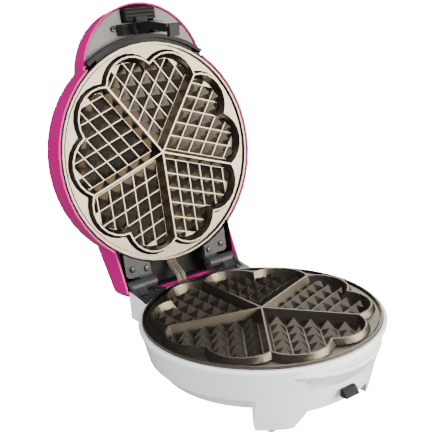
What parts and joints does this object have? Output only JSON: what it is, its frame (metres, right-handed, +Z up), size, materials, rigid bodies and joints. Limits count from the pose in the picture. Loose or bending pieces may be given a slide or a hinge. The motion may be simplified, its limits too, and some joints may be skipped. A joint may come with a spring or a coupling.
{
  "type": "waffle maker",
  "caption": "Round hinged waffle maker with heart-pocket plates, a white base, a magenta lid with a front lobe, and a sprung front latch, shown open.",
  "frame": {"origin": "on the table surface, under the centre of the box that the whole waffle maker fills with its lid open", "axes": "+Z up; -Y is the front, where the latch catches; +X is the right-hand side seen from the front; the hinge axis runs along X"},
  "size_m": [0.2276, 0.3253, 0.3409],
  "materials": {
    "white_shell": "smooth white moulded plastic, satin gloss",
    "magenta_shell": "glossy magenta moulded plastic",
    "black_plastic": "fine-textured black plastic",
    "grey_plate": "satin mid-grey paint",
    "hinge_metal": "dark grey powder coat",
    "nonstick": "warm grey-bronze non-stick coating on cast aluminium",
    "steel": "plain steel",
    "screw_metal": "dark zinc-plated screws",
    "aluminium": "pressed sheet",
    "rubber": "soft black rubber",
    "lead_sleeve": "beige heat-resistant sleeve",
    "red_lens": "clear red lamp lens",
    "green_lens": "clear green lamp lens",
    "ceramic": "off-white steatite ceramic"
  },
  "bodies": {
    "base": {"base_shell": "white_shell", "bottom_cover": "white_shell", "bracket_screw_0": "screw_metal", "bracket_screw_1": "screw_metal", "bracket_screw_2": "screw_metal", "bracket_screw_3": "screw_metal", "cord_gland": "black_plastic", "cover_screw_0": "screw_metal", "cover_screw_1": "screw_metal", "cover_screw_2": "screw_metal", "cover_screw_3": "screw_metal", "foot_front_left": "rubber", "foot_front_right": "rubber", "foot_rear_left": "rubber", "foot_rear_right": "rubber", "front_catch": "black_plastic", "hinge_bracket_left": "hinge_metal", "hinge_bracket_right": "hinge_metal", "hinge_pin_left": "steel", "hinge_pin_right": "steel", "lid_lead_left": "lead_sleeve", "lid_lead_right": "lead_sleeve", "lower_heating_element": "steel", "lower_plate": "nonstick", "lower_reflector": "aluminium", "terminal_block": "ceramic", "thermal_fuse": "ceramic", "thermostat": "ceramic"},
    "lid": {"hinge_leaf_left": "hinge_metal", "hinge_leaf_right": "hinge_metal", "latch_bracket": "black_plastic", "latch_pin": "steel", "latch_spring": "steel", "leaf_screw_0": "screw_metal", "leaf_screw_1": "screw_metal", "leaf_screw_2": "screw_metal", "leaf_screw_3": "screw_metal", "lid_liner": "black_plastic", "lid_shell": "magenta_shell", "lobe_plate": "grey_plate", "lobe_screw_left": "screw_metal", "lobe_screw_right": "screw_metal", "power_lamp": "red_lens", "ready_lamp": "green_lens", "upper_heating_element": "steel", "upper_plate": "nonstick", "upper_reflector": "aluminium"},
    "latch": {"latch_lever": "black_plastic"}
  },
  "joints": [
    {"name": "lid_hinge", "type": "hinge", "parent": "base", "child": "lid", "pos_m": [0, 0.08389, 0.07], "axis": [1, 0, 0], "range_deg": [0, 98.8], "deforming": ["lid_lead_left", "lid_lead_right"]},
    {"name": "latch_release", "type": "hinge", "parent": "lid", "child": "latch", "pos_m": [0, 0.12503, 0.3161], "axis": [-1, 0, 0], "range_deg": [0, 12], "stiffness_Nm_per_rad": 0.25, "springref_deg": -8.59}
  ]
}
